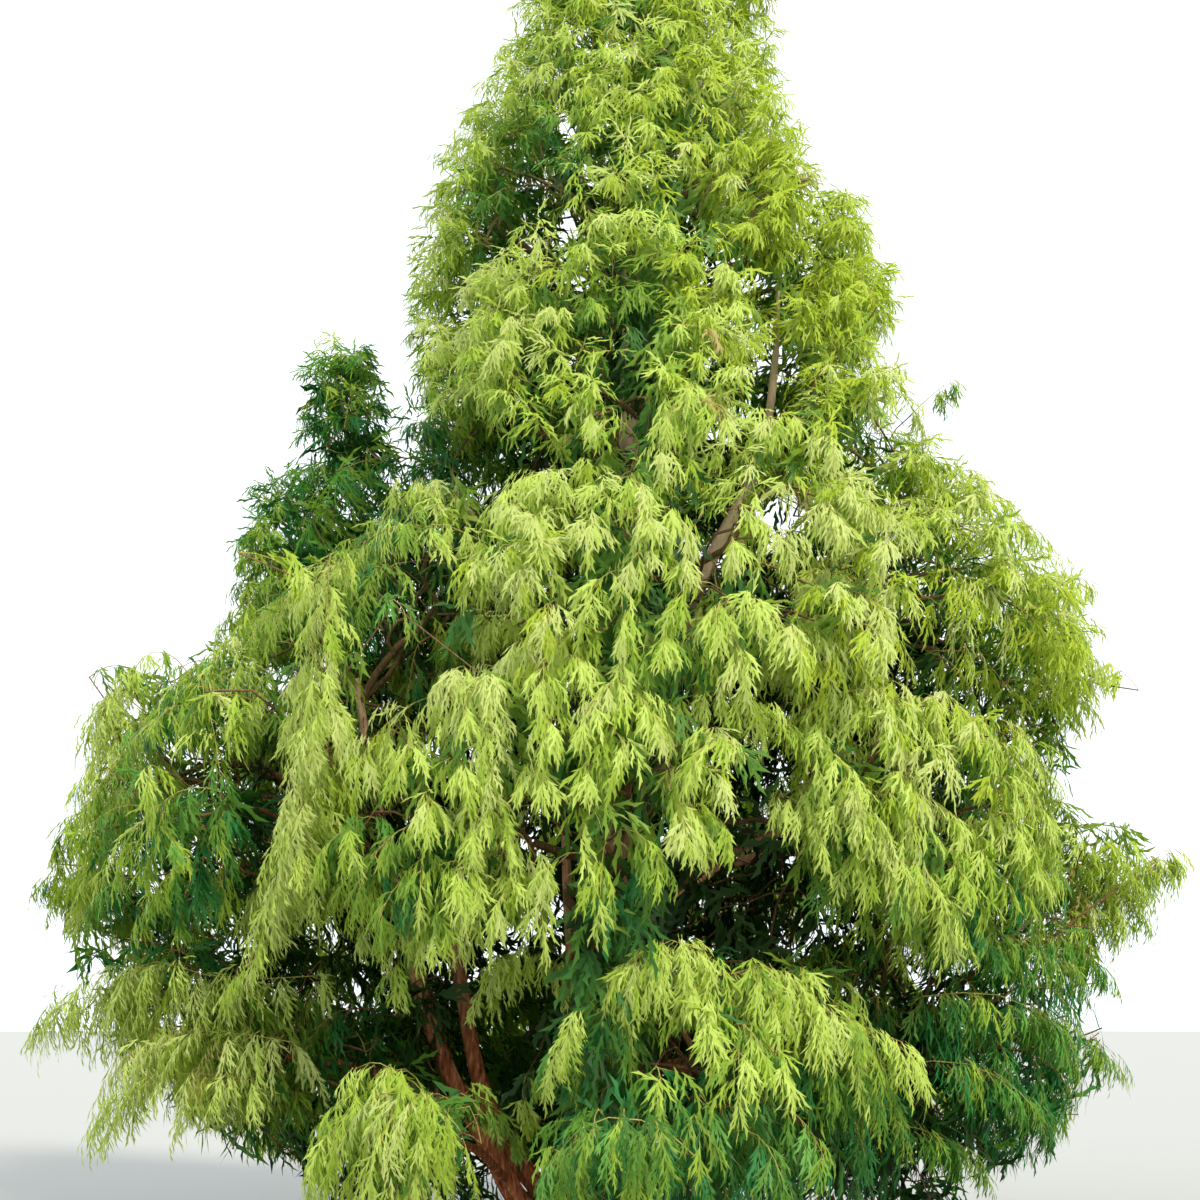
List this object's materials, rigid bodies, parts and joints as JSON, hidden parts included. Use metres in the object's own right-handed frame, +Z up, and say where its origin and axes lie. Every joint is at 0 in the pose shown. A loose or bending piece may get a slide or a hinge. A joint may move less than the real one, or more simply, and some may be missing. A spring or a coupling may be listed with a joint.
{
  "type": "bald cypress tree",
  "caption": "Young bald cypress, broadly conical, branched to the ground from a clump of stems, with drooping feathery foliage and a second leader at the left.",
  "frame": {"origin": "middle of the flat cut under the leader's root flare, at ground level", "axes": "+Z up along the tree, -Y towards the front that the picture shows, +X towards the picture's right"},
  "size_m": [7.5296, 6.247, 10.7031],
  "materials": {
    "bark": "fibrous red-brown bark, matt",
    "needles": "soft yellow-green needle sprays, satin"
  },
  "bodies": {
    "root": {"trunk": "bark", "stem_right": "bark", "stem_left_back": "bark", "stem_left_front": "bark", "stem_front": "bark", "bough_broad_right": "bark", "bough_broad_back_right": "bark", "bough_broad_front": "bark", "bough_lower_right": "bark", "bough_lower_back": "bark", "bough_lower_front_right": "bark", "bough_skirt_left": "bark", "bough_skirt_front_left": "bark", "bough_skirt_front": "bark", "bough_skirt_front_right": "bark", "bough_skirt_right": "bark", "bough_skirt_back_right": "bark", "bough_skirt_back": "bark", "bough_skirt_back_left": "bark", "foliage_tip": "needles", "foliage_lobe_top": "needles", "foliage_lobe_middle": "needles", "foliage_column_left": "needles", "foliage_column_far_left": "needles", "foliage_spray_right": "needles", "foliage_skirt_left": "needles", "foliage_skirt_front_left": "needles", "foliage_skirt_front": "needles", "foliage_skirt_front_right": "needles", "foliage_skirt_right": "needles", "foliage_skirt_back_right": "needles", "foliage_skirt_back": "needles", "foliage_skirt_back_left": "needles", "foliage_peak_back_right": "needles", "foliage_peak_back_left": "needles", "foliage_peak_front": "needles", "foliage_high_front_right": "needles", "foliage_high_back_right": "needles", "foliage_high_back_left": "needles", "foliage_high_front_left": "needles", "foliage_upper_right": "needles", "foliage_upper_back": "needles", "foliage_upper_left": "needles", "foliage_upper_front": "needles", "foliage_middle_right": "needles", "foliage_middle_back_right": "needles", "foliage_middle_back_left": "needles", "foliage_middle_left": "needles", "foliage_middle_front": "needles", "foliage_broad_right": "needles", "foliage_broad_back_right": "needles", "foliage_broad_back_left": "needles", "foliage_broad_front_left": "needles", "foliage_broad_front": "needles", "foliage_lower_right": "needles", "foliage_lower_back": "needles", "foliage_lower_back_left": "needles", "foliage_lower_left": "needles", "foliage_lower_front": "needles", "foliage_lower_front_right": "needles"}
  },
  "joints": []
}
